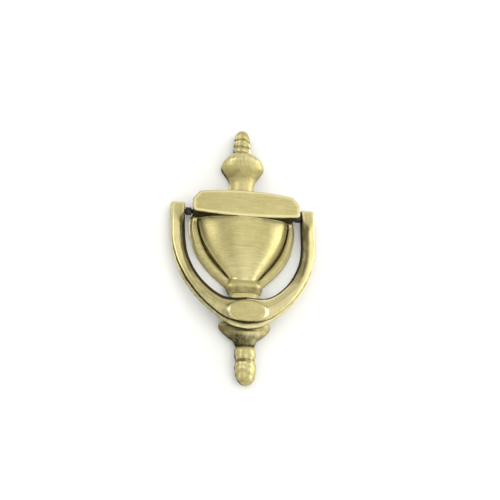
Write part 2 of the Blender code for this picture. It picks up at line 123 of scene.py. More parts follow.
def outline_distance(outline, x, z):
    """Signed distance from (x, z) to a closed polygon, negative inside."""
    x, z = np.broadcast_arrays(x, z)
    best = np.full(x.shape, 1e9)
    inside = np.zeros(x.shape, bool)
    for (ax, az), (bx, bz) in zip(outline, np.roll(outline, -1, axis=0)):
        ex, ez = bx - ax, bz - az
        length = ex * ex + ez * ez
        if length < 1e-12:
            continue
        px, pz = x - ax, z - az
        t = np.clip((px * ex + pz * ez) / length, 0, 1)
        best = np.minimum(best, (px - ex * t) ** 2 + (pz - ez * t) ** 2)
        if az != bz:
            crossing = (az > z) != (bz > z)
            inside ^= crossing & (x < ax + ex * (z - az) / ez)
    return np.where(inside, -1, 1) * np.sqrt(best)


class Outline:
    """Signed distance to a closed outline in the front view, sampled on a grid; negative inside."""

    def __init__(self, outline, reach=6.0, step=0.2):
        self.step = step
        self.low = outline.min(axis=0) - reach
        high = outline.max(axis=0) + reach
        x, z = (np.arange(self.low[i], high[i] + step, step) for i in (0, 1))
        self.grid = outline_distance(outline, x[:, None], z[None, :])

    def at(self, x, z):
        x, z = np.broadcast_arrays(x, z)
        u = np.clip((x - self.low[0]) / self.step, 0, self.grid.shape[0] - 1.001)
        v = np.clip((z - self.low[1]) / self.step, 0, self.grid.shape[1] - 1.001)
        i, j = u.astype(int), v.astype(int)
        u, v = u - i, v - j
        g = self.grid
        return ((g[i, j] * (1 - u) + g[i + 1, j] * u) * (1 - v)
                + (g[i, j + 1] * (1 - u) + g[i + 1, j + 1] * u) * v)


class Turned:
    """A turned outline: its half-width, its centre's depth and its depth ratio vary with height."""

    def __init__(self, runs, relief):
        line = np.vstack([curve_through(run) for run in runs])
        line = line[np.argsort(line[:, 1], kind="stable")]
        self.z = np.arange(line[0, 1] - 3, line[-1, 1] + 3, 0.1)
        self.half = np.interp(self.z, line[:, 1], line[:, 0])
        below, above = self.z < line[0, 1], self.z > line[-1, 1]
        self.half[below] = line[0, 0] - 2 * (line[0, 1] - self.z[below])
        self.half[above] = line[-1, 0] - 2 * (self.z[above] - line[-1, 1])
        self.slope = np.clip(np.gradient(self.half, self.z), -2.5, 2.5)
        self.relief = np.array(relief[::-1], float)

    def field(self, x, depth, z):
        half = np.interp(z, self.z, self.half)
        beyond = np.maximum(self.z[0] - z, 0) + np.maximum(z - self.z[-1], 0)
        slope = np.interp(z, self.z, self.slope)
        out = depth - np.interp(z, self.relief[:, 0], self.relief[:, 1])
        ratio = np.interp(z, self.relief[:, 0], self.relief[:, 2])
        radius = np.sqrt(x * x + (out / ratio) ** 2) + 1e-6
        steep = np.sqrt((x * x + out * out / ratio ** 4) / radius ** 2 + slope ** 2 + 1e-6)
        return (radius - half + 2 * beyond) / np.maximum(steep, 0.35)


def rod(a, b, radius, along, start, end):
    """A rod across two coordinates, between two values of the third."""
    return np.maximum(np.sqrt(a * a + b * b) - radius, np.maximum(start - along, along - end))


# ---- backplate ----------------------------------------------------------------------------------

TIP_Z = 80.0
SPINDLE = Turned([
    [(0, TIP_Z), (2.3, 79.4), (3.8, 77.6), (4.7, 75), (4.9, 73.2)],
    [(4.5, 72.6), (5.2, 71.4), (5.3, 69.8), (4.9, 68.4)],
    [(4.6, 67.9), (5.5, 66.8), (5.6, 65.2), (5.2, 64)],
    [(7.4, 62.5), (9.6, 61.1), (12.0, 58.3), (13.2, 55.4), (13.1, 53.7)],
    [(12.3, 52.6), (10.3, 49.9), (8.7, 47.6), (7.7, 45), (7.3, 42)],
    [(7.3, 29), (7.3, 8), (7.3, -16)],
    [(9.0, -17.2), (10.2, -18.4), (11.4, -20.6)],
    [(11.3, -21.1), (10.7, -23.2), (10.0, -25.2)],
    [(8.9, -25.8), (8.4, -28.5), (8.4, -34), (9.2, -38)],
    [(11.4, -41), (14.4, -43.2), (15.4, -44.8), (14.8, -47), (12.7, -49.4), (9.8, -51.8), (7.2, -53.6),
     (5.8, -56.6)],
    [(5.2, -57.3), (5.9, -58.6), (6.2, -60.8), (6.1, -63), (5.4, -65.1)],
    [(5.1, -65.6), (5.9, -67.2), (6.2, -70), (5.8, -73.4), (4.8, -76.3), (3.1, -78.7), (0, -TIP_Z)],
], [(80, 4.0, 0.93), (62, 4.0, 0.9), (55, 3.0, 0.7), (48, 1.2, 0.82), (44, 0.6, 0.9), (-15, 0.6, 0.86),
    (-18, 3.0, 0.5), (-21, 3.4, 0.52), (-30, 3.4, 0.5), (-38, 3.4, 0.42), (-44.8, 3.2, 0.34),
    (-48, 3.4, 0.38), (-52, 3.8, 0.55), (-57, 4.0, 0.85), (-60, 4.2, 0.93), (-80, 4.5, 0.93)])
BOWL = Turned([
    [(28.8, 24), (28.0, 16), (26.0, 8), (22.6, 1), (18.5, -5.2), (14.2, -10.6), (10.9, -14.8), (8.6, -18)],
], [(24, 0, 0.505), (15, 0, 0.522), (8, 0, 0.549), (1, 0, 0.575), (-5, 0, 0.625), (-10.5, 0, 0.7),
    (-14.6, 0, 0.79), (-18, 0, 0.88)])
FLANGE_SIDE = curve_through([(31.6, 22), (32.4, 17), (32.1, 11.5), (31.0, 6.5), (29.5, 1.5), (27.2, -3.5),
                             (23.8, -8.5), (19.4, -13.5), (14.8, -17.6), (11, -21.2)], 6)
BOX_HALF_WIDTH, BOX_DEPTH, BOX_BACK_TAPER = 32.6, 15.5, 0.08
BOX_TOP_Z, BOX_TOP_BOW, BOX_CORNER = 32.8, 3.0, 4.4
BOX_BOTTOM_Z, BOX_BOTTOM_BOW, BOX_FOOT = 20.7, 1.5, 1.6
BOX_CROWN, BOX_CROWN_Z, BOX_CROWN_REACH = 0.12, 27, 8
FLANGE_RIM, FLANGE_SWELL, FLANGE_BAND = 2.0, 1.9, 6.0
CREASE_RADIUS, CREASE_DEPTH, CREASE_FOOT_Z = 0.5, 2.8, (-16.5, -13)
LUMP_HEIGHT, RING_TILT = 0.2, 0.09
CAVITY_Z, CAVITY_HALF_WIDTH = (-13, 33), 24.9
WALL, WEB_HALF = 3.0, 1.75
HINGE_Z, HINGE_DEPTH, PIN_HOLE = 24.0, 5.0, 1.6
STRIKE_Z, STRIKE_POCKET = -38.0, (4.3, 5.2)
BOLTS = ((26.8, 9.5), (-47.5, 6.6))
BOLT_HOLE, BOSS_RADIUS = 2.8, 5.2


def closed(right_side):
    """A closed outline from its right half."""
    right_side = np.array(right_side, float)
    return np.vstack([right_side, right_side[::-1] * (-1, 1)])


def bowed(level, bow, stations):
    """Points along one of the hinge box's bowed edges."""
    return [(x, level + bow * (1 - (x / BOX_HALF_WIDTH) ** 2)) for x in stations]


def box_outline():
    top = bowed(BOX_TOP_Z, BOX_TOP_BOW, np.linspace(0, BOX_HALF_WIDTH - BOX_CORNER, 14))
    corner = [(BOX_HALF_WIDTH, BOX_TOP_Z - BOX_CORNER), (BOX_HALF_WIDTH, BOX_BOTTOM_Z + BOX_FOOT),
              (BOX_HALF_WIDTH - 0.5, BOX_BOTTOM_Z + 0.5)]
    bottom = bowed(BOX_BOTTOM_Z, -BOX_BOTTOM_BOW, np.linspace(BOX_HALF_WIDTH - BOX_FOOT, 0, 14))
    return closed(top + corner + bottom)


FLANGE_EDGE = Outline(closed(np.vstack([[(0, 24)], FLANGE_SIDE, [(0, -23)]])))
BOX_EDGE = Outline(box_outline())


def box_field(x, depth, z):
    """The hinge box: a slab with a faintly crowned face, narrower towards the door."""
    narrow = 1 - BOX_BACK_TAPER * np.clip((BOX_DEPTH - depth) / BOX_DEPTH, 0, 1)
    crown = BOX_CROWN * ((z - BOX_CROWN_Z) / BOX_CROWN_REACH) ** 2
    return blend_max(BOX_EDGE.at(x / narrow, z), depth - (BOX_DEPTH - crown), 0.9)


def plate_front(x, depth, z):
    """The solid front of the backplate, before its back is cut off and hollowed."""
    flange_edge = FLANGE_EDGE.at(x, z)
    across = np.clip(-flange_edge / FLANGE_BAND, 0, 1) - 0.5
    swell = FLANGE_SWELL * (1 - across ** 2 * np.where(across < 0, 4, 2))
    flange = blend_max(flange_edge, depth - (FLANGE_RIM + swell), 1.5)
    box = box_field(x, depth, z)
    bowl = BOWL.field(x, depth, z)
    front = blend_min(SPINDLE.field(x, depth, z), bowl, 0.9)
    front = blend_min(front, blend_min(flange, box, 2.5), 0.5)
    crease = np.sqrt(bowl ** 2 + flange ** 2)
    return blend_max(front, CREASE_RADIUS * smooth_step(*CREASE_FOOT_Z, z) - crease, 0.5)


def cast_front(x, depth, z):
    """The solid front with the finials' rings a little tilted and lumpy, as they leave the mould."""
    tilt = RING_TILT * x * band(60, 64, 75, 79, z)
    lumps = np.sin(1.25 * x + 0.8 * z + 0.4) * np.sin(1.1 * depth - 0.95 * z + 0.6 * x)
    on_finials = smooth_step(56, 64, np.abs(z + 1)) * smooth_step(79.2, 76, np.abs(z))
    return plate_front(x, depth, z + tilt) + LUMP_HEIGHT * lumps * on_finials


def plate_cavity(x, depth, z):
    """The hollow behind the bowl and the box, less the cross web and the upper bolt's boss."""
    hollow = blend_min(BOWL.field(x, depth, z), box_field(x, depth, z), 1.0) + WALL
    hollow = blend_max(hollow, np.maximum(CAVITY_Z[0] - z, z - CAVITY_Z[1]), 1.0)
    hollow = blend_max(hollow, np.abs(x) - CAVITY_HALF_WIDTH, 1.0)
    hollow = blend_max(hollow, WEB_HALF - np.abs(z), 0.8)
    return blend_max(hollow, BOSS_RADIUS - np.sqrt(x * x + (z - BOLTS[0][0]) ** 2), 0.8)


def plate_field(x, depth, z):
    """The whole backplate, with its cavity, pin holes, bolt holes and the strike plate's pocket."""
    body = blend_max(cast_front(x, depth, z), -plate_cavity(x, depth, z), 0.5)
    for side in (-1, 1):
        body = blend_max(body, -rod(depth - HINGE_DEPTH, z - HINGE_Z, PIN_HOLE, side * x, 22, 40), 0.4)
    for height, bottom in BOLTS:
        body = blend_max(body, -rod(x, z - height, BOLT_HOLE, depth, -5, bottom), 0.4)
    body = blend_max(body, -rod(x, z - STRIKE_Z, STRIKE_POCKET[0], depth, STRIKE_POCKET[1], 30), 0.4)
    return blend_max(body, -depth, 0.5)


# ---- bail ---------------------------------------------------------------------------------------

ARM_TOP_Z = 29.0
BAIL_BACK, BAIL_RIDGE = (2.4, 9.8), (8.0, 12.9)
RIDGE_SHARE = 0.47
HEAD_Z = (14.0, 24.0)
FACET_Z, FACET_FALL = 16.5, 0.1  # above FACET_Z the arm's face falls back by this share of the height
INNER_DROP, INNER_RUN = (2.2, 0.5), 0.28  # drop from the ridge inwards, on the arms and at the head
OUTER_DROP, OUTER_RUN = (1.8, 0.6), 0.46  # the same outwards; the runs are shares of the width
RIDGE_SOFTNESS = 0.04
FLANK_WIDTH = (1.8, 0.3)
BACK_EDGE = 0.6
LIP_HEIGHT_SHARE, LIP_RISE_AT_HEAD = 0.36, 1.2
PAD_CROWN, PAD_BEVEL = 0.15, 1.3
ARM_HOLE_X = (30, 40.9)
SOCKET_RADIUS, SOCKET_DEPTH = 2.2, (5, 12.7)
PAD_Z, PAD_HALF_WIDTH, PAD_HALF_HEIGHT, PAD_DEPTH = -38.1, 12.4, 6.9, 14.5
INNER_EDGE = [(35.5, 29), (35.6, 20), (35.4, 13), (35.2, 6), (34.0, -3), (31.0, -11), (26.8, -17.7),
              (21.8, -23.1), (17.0, -26.8), (12.4, -28.9), (6.2, -29.3), (0, -28.8)]
OUTER_EDGE = [(44.0, 29), (44.05, 20), (44.0, 12), (43.8, 4), (42.1, -6), (38.8, -15.6), (34.2, -24),
              (28.3, -31.6), (21.8, -37.8), (15.6, -42.5), (8.0, -46.6), (0, -48)]


def u_outline(edge):
    """The closed outline inside an edge of the U, carried on above the arms."""
    return closed(np.vstack([[(0, 50), (edge[0][0], 50)], curve_through(edge, 8)]))


INNER_OUTLINE, OUTER_OUTLINE = Outline(u_outline(INNER_EDGE)), Outline(u_outline(OUTER_EDGE))


def bail_levels(z):
    """Depth of the back and of the ridge at a height: the bail leans out towards its foot."""
    share = np.clip((HINGE_Z - z) / (HINGE_Z - STRIKE_Z), 0, 1)
    return between(BAIL_BACK, share), between(BAIL_RIDGE, share)


def lip_width(z):
    """Width of the thin lip along the bail's outer edge."""
    return 0.6 + 1.2 * smooth_step(8, -26, z) + 1.4 * smooth_step(-41, -45, z)


def bail_solid(x, depth, z):
    """The bail before its pin holes and its striker's hole are cut."""
    inner, outer = INNER_OUTLINE.at(x, z), -OUTER_OUTLINE.at(x, z)
    back, ridge = bail_levels(z)
    head = smooth_step(*HEAD_Z, z)
    inner_drop, outer_drop = between(INNER_DROP, head), between(OUTER_DROP, head)
    across = np.clip(inner / np.maximum(inner + outer, 1), 0, 1) - RIDGE_SHARE
    fall = np.where(across < 0, inner_drop / INNER_RUN, outer_drop / OUTER_RUN)
    roof = ridge - fall * (np.sqrt(across ** 2 + RIDGE_SOFTNESS ** 2) - RIDGE_SOFTNESS)
    roof = blend_min(roof, ridge - FACET_FALL * (z - FACET_Z), 0.25)
    rise = np.maximum(ridge - inner_drop - back - BACK_EDGE, 1)
    lean = between(FLANK_WIDTH, head) / rise
    flank = (lean * (depth - back - BACK_EDGE) - inner) / np.sqrt(1 + lean ** 2)
    lip_depth = back + LIP_HEIGHT_SHARE * (ridge - back) + LIP_RISE_AT_HEAD * head
    body = blend_max(blend_max(flank, lip_width(z) - outer, 0.7), depth - roof, 0.7)
    lip = blend_max(blend_max(-inner, -outer, 0.6), depth - lip_depth, 0.6)
    body = blend_max(blend_min(body, lip, 0.25), np.maximum(z - ARM_TOP_Z, back - depth), 0.6)
    reach = np.sqrt((x / PAD_HALF_WIDTH) ** 2 + ((z - PAD_Z) / PAD_HALF_HEIGHT) ** 2)
    pad_edge = (reach - 1) * PAD_HALF_HEIGHT
    dome = PAD_DEPTH - PAD_CROWN * reach ** 2 - PAD_BEVEL * smooth_step(0.76, 1.05, reach)
    pad = blend_max(blend_max(pad_edge, depth - dome, 0.8), BAIL_BACK[1] + 1 - depth, 0.6)
    return blend_min(body, pad, 0.5)


def bail_field(x, depth, z):
    """The bail with its pin holes and the socket of its striker."""
    body = bail_solid(x, depth, z)
    for side in (-1, 1):
        body = blend_max(body, -rod(depth - HINGE_DEPTH, z - HINGE_Z, PIN_HOLE, side * x, *ARM_HOLE_X), 0.3)
    return blend_max(body, -rod(x, z - STRIKE_Z, SOCKET_RADIUS, depth, *SOCKET_DEPTH), 0.4)


# ---- surface extraction -------------------------------------------------------------------------

def field_normal(field, points, step=0.05):
    """Unit gradient of a field at points of (x, depth, z)."""
    parts = []
    for axis in range(3):
        shift = np.zeros(3)
        shift[axis] = step
        ahead, behind = points + shift, points - shift
        parts.append(field(*ahead.T) - field(*behind.T))
    slope = np.stack(parts, 1)
    return slope / np.maximum(np.linalg.norm(slope, axis=1, keepdims=True), 1e-9)


def surface_net(field, low, high, cell):
    """A closed quad mesh of a field's zero surface: one vertex to each cell that it passes through."""
    axes = [np.arange(lo, hi + cell, cell) for lo, hi in zip(low, high)]
    values = field(axes[0][:, None, None], axes[1][None, :, None], axes[2][None, None, :]).astype(np.float32)
    inside = values < 0
    total = np.zeros([n - 1 for n in inside.shape] + [3], np.float32)
    count = np.zeros(total.shape[:3], np.float32)
    corners = [(a, b, c) for a in (0, 1) for b in (0, 1) for c in (0, 1)]

    def corner(array, offset):
        return array[tuple(slice(o, n - 1 + o) for o, n in zip(offset, array.shape))]

    for start in corners:
        for axis in range(3):
            if start[axis]:
                continue
            end = tuple(o + (i == axis) for i, o in enumerate(start))
            a, b = corner(values, start), corner(values, end)
            crossed = (a < 0) != (b < 0)
            share = np.where(crossed, a / np.where(crossed, a - b, 1), 0)
            for i in range(3):
                total[..., i] += np.where(crossed, start[i] + (share if i == axis else 0), 0)
            count += crossed
    active = count > 0
    index = np.full(active.shape, -1, np.int64)
    index[active] = np.arange(active.sum())
    where = np.argwhere(active)
    points = (where + total[active] / count[active][:, None]) * cell + np.array([a[0] for a in axes])
    faces = []
    for axis in range(3):
        u, v = (axis + 1) % 3, (axis + 2) % 3
        first = [slice(1, -1)] * 3
        first[axis] = slice(0, -1)
        second = list(first)
        second[axis] = slice(1, None)
        a, b = inside[tuple(first)], inside[tuple(second)]
        edges = np.argwhere(a != b)
        leaving = a[a != b]
        base = edges.copy()
        base[:, u] += 1
        base[:, v] += 1
        ring = []
        for du, dv in ((0, 0), (-1, 0), (-1, -1), (0, -1)):
            spot = base.copy()
            spot[:, u] += du
            spot[:, v] += dv
            ring.append(index[tuple(spot.T)])
        quad = np.stack(ring, 1)
        quad[~leaving] = quad[~leaving][:, ::-1]
        faces.append(quad)
    return points.astype(np.float64), np.vstack(faces)


def settle(field, points, rounds=3, reach=0.2):
    """Moves the vertices onto the true surface along the field's gradient."""
    for _ in range(rounds):
        normal = field_normal(field, points)
        near, far = field(*(points - 0.05 * normal).T), field(*(points + 0.05 * normal).T)
        rate = np.maximum((far - near) / 0.1, 0.3)
        points = points - normal * np.clip(field(*points.T) / rate, -reach, reach)[:, None]
    return points


HOLLOW_REACHES = ((0.7, 0.3), (1.5, 0.3), (3.0, 0.25), (6.0, 0.15))  # distance in mm and weight
EDGE_REACHES = ((0.8, 1.0), (1.6, 1.8))
PLATE_CELL, BAIL_CELL = 0.46, 0.4


def cast_piece(name, field, solid, low, high, cell):
    """A mesh object of a field, with point attributes of how hollow and how exposed each place is.

    solid is the same shape without its inner hollows: a thin wall is no sharp edge.
    """
    points, faces = surface_net(field, low, high, cell)
    points = settle(field, points)
    mesh = bpy.data.meshes.new(name)
    placed = np.stack([points[:, 0], -points[:, 1], points[:, 2]], 1) * MM
    mesh.vertices.add(len(placed))
    mesh.vertices.foreach_set("co", placed.astype(np.float32).ravel())
    mesh.loops.add(faces.size)
    mesh.loops.foreach_set("vertex_index", faces[:, ::-1].astype(np.int32).ravel())
    mesh.polygons.add(len(faces))
    mesh.polygons.foreach_set("loop_start", np.arange(0, faces.size, 4, dtype=np.int32))
    mesh.update(calc_edges=True)
    mesh.validate()
    mesh.shade_smooth()
    normal = field_normal(field, points)
    # hollow is an occlusion measure: the brass darkens by it, as patina in recesses and as painted occlusion
    # shade.
    hollow = np.zeros(len(points))
    for reach, weight in HOLLOW_REACHES:
        open_share = field(*(points + normal * reach).T) / reach
        hollow += weight * np.clip(1 - open_share, 0, 1)
    exposed = np.zeros(len(points))
    for reach, weight in EDGE_REACHES:
        exposed += weight * np.clip(1 + solid(*(points - normal * reach).T) / reach, 0, 1)
    store(mesh, "hollow", hollow)
    store(mesh, "exposed", np.clip(exposed, 0, 1))
    item = bpy.data.objects.new(name, mesh)
    bpy.context.scene.collection.objects.link(item)
    return item, points, normal


def store(mesh, name, values):
    layer = mesh.attributes.new(name, "FLOAT", "POINT")
    layer.data.foreach_set("value", values.astype(np.float32))


def store_vector(mesh, name, values):
    layer = mesh.attributes.new(name, "FLOAT_VECTOR", "POINT")
    layer.data.foreach_set("vector", values.astype(np.float32).ravel())


def plate_patina_and_painted_shade(x, depth, z, normal):
    """Where the blackened backplate stays dark, from 0 to 1: patina where the brushing didn't reach, plus
    painted shade under overhangs and on sides turned from the lamps.
    """
    facing = normal[:, 1]
    under_box = smooth_step(-0.5, -0.85, normal[:, 2]) * band(17, 19, 22, 24, z)
    under_box = under_box * (0.3 - 0.15 * smooth_step(28, 12, np.abs(x)))
    box_side = smooth_step(0.6, 0.9, np.abs(normal[:, 0]))
    box_side = box_side * smooth_step(29, 31, np.abs(x)) * smooth_step(19, 21, z)
    rough_side = smooth_step(0.3, 0.0, facing) * (np.abs(depth) > 0.4)
    behind = smooth_step(-0.2, -0.7, facing)
    # The crease darkens by patina and painted shade together.
    from_crease = np.sqrt(BOWL.field(x, depth, z) ** 2 + np.maximum(depth - CREASE_DEPTH, 0) ** 2)
    crease = smooth_step(1.2, 0.3, from_crease) * smooth_step(-18, -4, z)
    # Painted shade: under the hood, on the lower neck, under the collar's rim, on the flare (more on its
    # left) and on the left ends of the box face and the acorn. The rings are patina in the finials' grooves.
    hood = band(44, 48, 51, 56, z) * smooth_step(0.05, -0.3, normal[:, 2])
    throat = band(-60, -57, -54, -50, z)
    rings = sum(np.exp(-((z - height) / 0.9) ** 2) for height in (72.9, 68.1, -57.0, -65.4))
    collar = band(-27, -24, -22.6, -21.5, z)
    flare = band(-58, -55, -46, -43, z) * (0.2 + 0.2 * smooth_step(5, -8, x))
    box_left = smooth_step(-4, -26, x) * smooth_step(14, 15, depth)
    acorn_left = smooth_step(2, -5, x) * smooth_step(-58, -66, z)
    marks = np.where(x < 0, 0.2, 0.12) * crease + 0.22 * hood + 0.2 * throat + 0.2 * rings + 0.3 * collar
    marks = marks + flare + 0.12 * box_left + 0.14 * acorn_left
    return np.clip(under_box + 0.45 * rough_side + 0.6 * box_side + 0.2 * behind + marks, 0, 1)


def make_plate():
    """The backplate's casting.

    brush holds places in metres along and across the brush marks, and grain their direction.
    """
    plate, points, normal = cast_piece("urn_plate", plate_field, plate_front,
                                       (-34, -1.2, -81.5), (34, 17, 81.5), PLATE_CELL)
    x, depth, z = points.T
    upright = smooth_step(38, 42, z) + smooth_step(-24, -28, z)
    flat = np.stack([x, z, depth], 1)
    turned = np.stack([z, np.arctan2(x, depth + 2) * 8, depth], 1)
    store_vector(plate.data, "brush", (flat + (turned - flat) * upright[:, None]) * MM)
    store_vector(plate.data, "grain", np.stack([1 - upright, 0 * z, upright], 1))
    store(plate.data, "patina_and_painted_shade", plate_patina_and_painted_shade(x, depth, z, normal))
    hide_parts("urn_backplate")
    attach(plate, "plate")
    return plate


def bail_patina_and_painted_shade(x, depth, z, normal):
    """Where the blackened bail stays dark, from 0 to 1: patina on the inner sides and back where the
    brushing didn't reach, plus painted shade under the pad, along the outer step, on the inner facets and on
    the foot.
    """
    inner, outer = INNER_OUTLINE.at(x, z), -OUTER_OUTLINE.at(x, z)
    facing = normal[:, 1]
    reach = np.where(x < 0, 0.85, 0.3) * smooth_step(22, 12, z)
    inner_side = smooth_step(2.2 * reach + 0.35, 1.4 * reach + 0.15, inner)
    rough_side = smooth_step(0.25, 0.0, facing)
    behind = smooth_step(-0.2, -0.7, facing)
    # Painted shade under the pad's lower side and along the outer step, stronger on the left.
    under_pad = smooth_step(0.5, 0.2, facing) * smooth_step(-43.6, -44.4, z) * smooth_step(10.6, 11.4, depth)
    step = smooth_step(0.65, 0.2, np.abs(lip_width(z) - outer)) * smooth_step(12, -8, z)
    step = step * np.where(x < 4, 0.45, 0.15) * smooth_step(0.92, 0.7, facing)
    # Painted shade: darker towards the foot's lower left, over the foot's lower part and on the arms' inner
    # facets.
    left_foot = smooth_step(-5, -25, z) * smooth_step(0, -14, x)
    foot = smooth_step(-20, -30, z) * smooth_step(14, 6, x)
    facet = smooth_step(RIDGE_SHARE + 0.2, RIDGE_SHARE - 0.1, inner / np.maximum(inner + outer, 1))
    facet = facet * band(-30, -12, 15, 25, z) * smooth_step(13.6, 13, depth)
    painted_shade = np.maximum(np.maximum(0.25 * left_foot, 0.4 * facet), 0.12 * foot)
    return np.clip(inner_side + 0.3 * rough_side + 0.15 * behind + under_pad + step + painted_shade, 0, 1)


def make_bail():
    """The bail's casting, brushed along its arms and across its pad."""
    bail, points, normal = cast_piece("knocker_casting", bail_field, bail_solid,
                                      (-45.5, 0.5, -49.5), (45.5, 16, 29.5), BAIL_CELL)
    x, depth, z = points.T
    angle = np.arctan2(np.maximum(6 - z, 0), np.abs(x))
    along = np.sign(x) * np.where(z > 6, z - 6, -angle * 40)
    on_pad = smooth_step(13.3, 13.8, depth)[:, None]
    arms = np.stack([along, INNER_OUTLINE.at(x, z), depth], 1)
    pad = np.stack([x, z, depth], 1)
    store_vector(bail.data, "brush", (arms + (pad - arms) * on_pad) * MM)
    run = np.stack([np.sin(angle) * np.sign(x), 0 * z, np.cos(angle)], 1)
    store_vector(bail.data, "grain", run + (np.array([1.0, 0, 0]) - run) * on_pad)
    store(bail.data, "patina_and_painted_shade", bail_patina_and_painted_shade(x, depth, z, normal))
    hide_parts("knocker_bail")
    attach(bail, "knocker")
    return bail


# ---- studs --------------------------------------------------------------------------------------

THREAD_PITCH, THREAD_DEPTH = 0.8, 0.42
THREAD_STEEPNESS, THREAD_CREST, STUD_CHAMFER = 1.25, 0.12, 0.8
SEGMENTS, ROWS_TO_PITCH = 28, 6


def make_stud(node):
    """A threaded stud with chamfered ends, in place of the plain CAD rod."""
    low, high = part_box(node)
    centre_x, centre_z = (low.x + high.x) / 2, (low.z + high.z) / 2
    radius = (high.x - low.x) / 2
    length = high.y - low.y
    rows = int(length / (THREAD_PITCH * MM) * ROWS_TO_PITCH)
    share = np.linspace(0, 1, rows + 1)[:, None]
    angle = np.arange(SEGMENTS)[None, :] * 2 * math.pi / SEGMENTS
    along = share * length
    phase = (along / (THREAD_PITCH * MM) + angle / (2 * math.pi)) % 1
    cut = THREAD_DEPTH * MM * np.clip(THREAD_STEEPNESS * (1 - np.abs(2 * phase - 1)) - THREAD_CREST, 0, 1)
    to_end = np.minimum(along, length - along)
    ring = np.minimum(radius - cut, radius - STUD_CHAMFER * MM + to_end)
    x = centre_x + ring * np.cos(angle)
    z = centre_z + ring * np.sin(angle)
    y = np.broadcast_to(low.y + along, x.shape)
    verts = np.stack([x, y, z], -1).reshape(-1, 3)
    faces = []
    for row in range(rows):
        start = row * SEGMENTS
        for k in range(SEGMENTS):
            turn = (k + 1) % SEGMENTS
            faces.append((start + k, start + SEGMENTS + k, start + SEGMENTS + turn, start + turn))
    faces.append(tuple(range(SEGMENTS)))
    faces.append(tuple(rows * SEGMENTS + k for k in reversed(range(SEGMENTS))))
    mesh = bpy.data.meshes.new(node)
    mesh.from_pydata([tuple(v) for v in verts], [], faces)
    mesh.shade_smooth()
    mesh.set_sharp_from_angle(angle=math.radians(40))
    stud = bpy.data.objects.new(node.replace("mounting", "threaded"), mesh)
    bpy.context.scene.collection.objects.link(stud)
    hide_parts(node)
    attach(stud, "plate")
    return stud


# ---- materials ----------------------------------------------------------------------------------

class Nodes:
    """Short calls for building a node tree."""

    def __init__(self, name):
        self.material = bpy.data.materials.new(name)
        self.material.use_nodes = True
        self.tree = self.material.node_tree
        self.shader = self.tree.nodes["Principled BSDF"]

    def add(self, kind, inputs=(), **settings):
        node = self.tree.nodes.new("ShaderNode" + kind)
        for key, value in settings.items():
            setattr(node, key, value)
        for key, value in dict(inputs).items():
            self.put(value, node.inputs[key])
        return node

    def put(self, value, socket):
        if isinstance(value, bpy.types.NodeSocket):
            self.tree.links.new(value, socket)
        else:
            socket.default_value = value

    def attribute(self, name, output="Fac"):
        return self.add("Attribute", attribute_name=name).outputs[output]

    def math(self, operation, a, b=0.0, clamp=False):
        return self.add("Math", {0: a, 1: b}, operation=operation, use_clamp=clamp).outputs[0]

    def stretched(self, vector, scale):
        return self.add("VectorMath", {0: vector, 1: scale}, operation="MULTIPLY").outputs[0]

    def noise(self, vector, scale, detail=3.0, roughness=0.55):
        return self.add("TexNoise", {"Vector": vector, "Scale": scale, "Detail": detail,
                                     "Roughness": roughness}).outputs["Fac"]

    def ramp(self, value, low, high, to_low=0.0, to_high=1.0):
        return self.add("MapRange", {"Value": value, "From Min": low, "From Max": high, "To Min": to_low,
                                     "To Max": to_high}, clamp=True).outputs["Result"]

    def mix(self, share, a, b):
        node = self.add("Mix", data_type="RGBA")
        self.put(share, node.inputs[0])
        self.put(a, node.inputs[6])
        self.put(b, node.inputs[7])
        return node.outputs[2]

    def blend(self, share, a, b):
        node = self.add("Mix", data_type="FLOAT")
        self.put(share, node.inputs[0])
        self.put(a, node.inputs[2])
        self.put(b, node.inputs[3])
        return node.outputs[0]

    def bump(self, height, strength, distance, normal=None):
        inputs = {"Height": height, "Strength": strength, "Distance": distance}
        if normal is not None:
            inputs["Normal"] = normal
        return self.add("Bump", inputs).outputs["Normal"]


